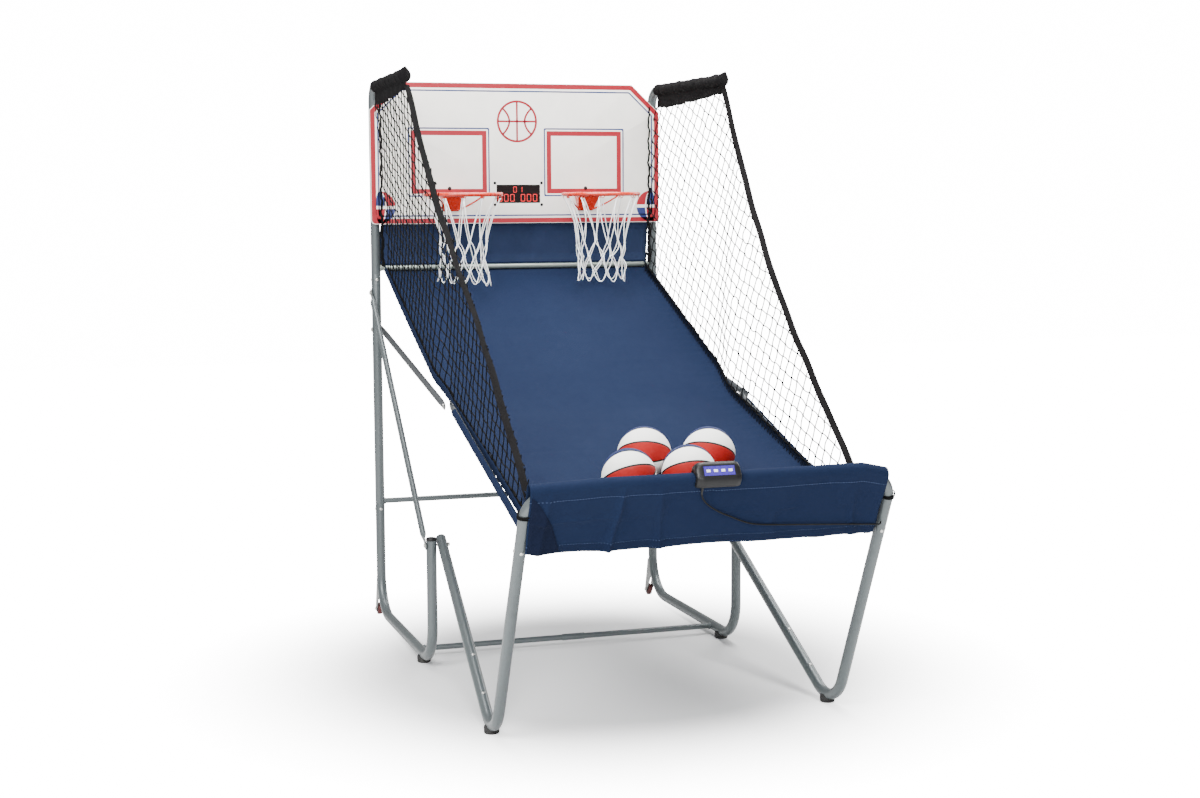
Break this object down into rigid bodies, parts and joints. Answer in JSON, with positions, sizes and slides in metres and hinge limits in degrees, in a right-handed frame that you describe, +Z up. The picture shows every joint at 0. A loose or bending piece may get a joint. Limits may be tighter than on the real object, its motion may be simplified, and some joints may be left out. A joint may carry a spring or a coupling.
{
  "type": "basketball arcade hoop machine",
  "caption": "Folding home basketball game: bent-tube frame, sloping ball return, netted sides, backboard with scoreboard, rims with nets, balls and a controller on the tray's edge.",
  "frame": {"origin": "bottom centre of the bounding box, on the floor", "axes": "+X to the player's right, +Y from the player towards the backboard, +Z up"},
  "size_m": [1.299, 2.4276, 2.21],
  "materials": {
    "grey_powder_coat": "satin powder coat",
    "bright_zinc": "bright zinc plate",
    "dark_grey_coat": "satin powder coat",
    "zinc_fastener": "zinc plate",
    "black_plastic": "fine moulded grain",
    "black_rubber": "matte",
    "red_wheel": "matte, scuffed",
    "white_board": "printed laminate on fibreboard",
    "navy_cloth": "woven polyester",
    "black_nylon": "woven nylon webbing and knotted net",
    "cord_jacket": "smooth cord jacket",
    "orange_enamel": "gloss enamel",
    "white_cord": "braided nylon cord",
    "smoked_lens": "smoked and polished",
    "circuit_board": "solder mask",
    "violet_face": "printed overlay",
    "white_button": "satin",
    "ball_rubber": "pebbled"
  },
  "bodies": {
    "root": {"arm_tube_left": "grey_powder_coat", "arm_tube_right": "grey_powder_coat", "backboard": "white_board", "base_foot_left": "black_rubber", "base_foot_right": "black_rubber", "base_tube_left": "grey_powder_coat", "base_tube_right": "grey_powder_coat", "castor_fork_left": "zinc_fastener", "castor_fork_right": "zinc_fastener", "floor_bar": "grey_powder_coat", "fold_bolt_left": "zinc_fastener", "fold_bolt_right": "zinc_fastener", "hoop_net_left": "white_cord", "hoop_net_right": "white_cord", "hoop_rim_left": "orange_enamel", "hoop_rim_right": "orange_enamel", "hoop_sensor_left": "black_plastic", "hoop_sensor_right": "black_plastic", "lower_crossbar": "grey_powder_coat", "net_sleeve_left": "black_nylon", "net_sleeve_right": "black_nylon", "post_tube_left": "grey_powder_coat", "post_tube_right": "grey_powder_coat", "ramp_cloth": "navy_cloth", "rear_cloth": "navy_cloth", "score_case": "black_plastic", "score_circuit": "circuit_board", "score_lens": "smoked_lens", "side_brace_left": "grey_powder_coat", "side_brace_right": "grey_powder_coat", "side_net_left": "black_nylon", "side_net_right": "black_nylon", "stub_cap_left": "black_plastic", "stub_cap_right": "black_plastic", "upper_crossbar": "bright_zinc"},
    "front_frame": {"leg_tube_left": "grey_powder_coat", "leg_tube_right": "grey_powder_coat", "leg_foot_left": "black_rubber", "leg_foot_right": "black_rubber", "front_top_bar": "grey_powder_coat", "front_low_bar": "dark_grey_coat", "tray_wall": "navy_cloth", "control_case": "black_plastic", "control_face": "violet_face", "control_circuit": "circuit_board", "control_cord": "cord_jacket"},
    "side_struts": {"side_strut_left": "dark_grey_coat", "side_strut_right": "dark_grey_coat"},
    "side_rails": {"side_rail_left": "dark_grey_coat", "side_rail_right": "dark_grey_coat"},
    "wheel_left": {"castor_wheel_left": "red_wheel"},
    "wheel_right": {"castor_wheel_right": "red_wheel"},
    "button_1": {"control_button_1": "white_button"},
    "button_2": {"control_button_2": "white_button"},
    "button_3": {"control_button_3": "white_button"},
    "button_4": {"control_button_4": "white_button"},
    "ball_1": {"ball_1": "ball_rubber"},
    "ball_2": {"ball_2": "ball_rubber"},
    "ball_3": {"ball_3": "ball_rubber"},
    "ball_4": {"ball_4": "ball_rubber"}
  },
  "joints": [
    {"name": "front_fold", "type": "hinge", "parent": "root", "child": "front_frame", "pos_m": [0, 0.16381, 0.472], "axis": [-1, 0, 0], "range_deg": [0, 80], "deforming": ["ramp_cloth", "side_net_left", "side_net_right"]},
    {"name": "side_strut_fold", "type": "hinge", "parent": "root", "child": "side_struts", "pos_m": [0, 1.13381, 1.203], "axis": [-1, 0, 0], "range_deg": [-22.4, 0]},
    {"name": "side_rail_fold", "type": "hinge", "parent": "front_frame", "child": "side_rails", "pos_m": [0, -1.06919, 0.67], "axis": [-1, 0, 0], "range_deg": [0, 25.4]},
    {"name": "wheel_left_spin", "type": "hinge", "parent": "root", "child": "wheel_left", "pos_m": [-0.6, 1.18881, 0.025], "axis": [1, 0, 0], "continuous": true},
    {"name": "wheel_right_spin", "type": "hinge", "parent": "root", "child": "wheel_right", "pos_m": [0.6, 1.18881, 0.025], "axis": [1, 0, 0], "continuous": true},
    {"name": "button_1_press", "type": "slide", "parent": "front_frame", "child": "button_1", "axis": [0, 0.9001, -0.4356], "range_m": [0, 0.0012], "stiffness_N_per_m": 500, "springref_m": -0.001},
    {"name": "button_2_press", "type": "slide", "parent": "front_frame", "child": "button_2", "axis": [0, 0.9001, -0.4356], "range_m": [0, 0.0012], "stiffness_N_per_m": 500, "springref_m": -0.001},
    {"name": "button_3_press", "type": "slide", "parent": "front_frame", "child": "button_3", "axis": [0, 0.9001, -0.4356], "range_m": [0, 0.0012], "stiffness_N_per_m": 500, "springref_m": -0.001},
    {"name": "button_4_press", "type": "slide", "parent": "front_frame", "child": "button_4", "axis": [0, 0.9001, -0.4356], "range_m": [0, 0.0012], "stiffness_N_per_m": 500, "springref_m": -0.001},
    {"name": "ball_1_lift", "type": "slide", "parent": "front_frame", "child": "ball_1", "axis": [0, 0, 1], "range_m": [0, 0.2]},
    {"name": "ball_2_lift", "type": "slide", "parent": "front_frame", "child": "ball_2", "axis": [0, 0, 1], "range_m": [0, 0.2]},
    {"name": "ball_3_lift", "type": "slide", "parent": "front_frame", "child": "ball_3", "axis": [0, 0, 1], "range_m": [0, 0.2]},
    {"name": "ball_4_lift", "type": "slide", "parent": "front_frame", "child": "ball_4", "axis": [0, 0, 1], "range_m": [0, 0.2]}
  ],
  "couplings": [
    {"joint": "side_strut_fold", "follows": "front_fold", "ratio": -0.2798},
    {"joint": "side_rail_fold", "follows": "front_fold", "ratio": 0.3174}
  ]
}
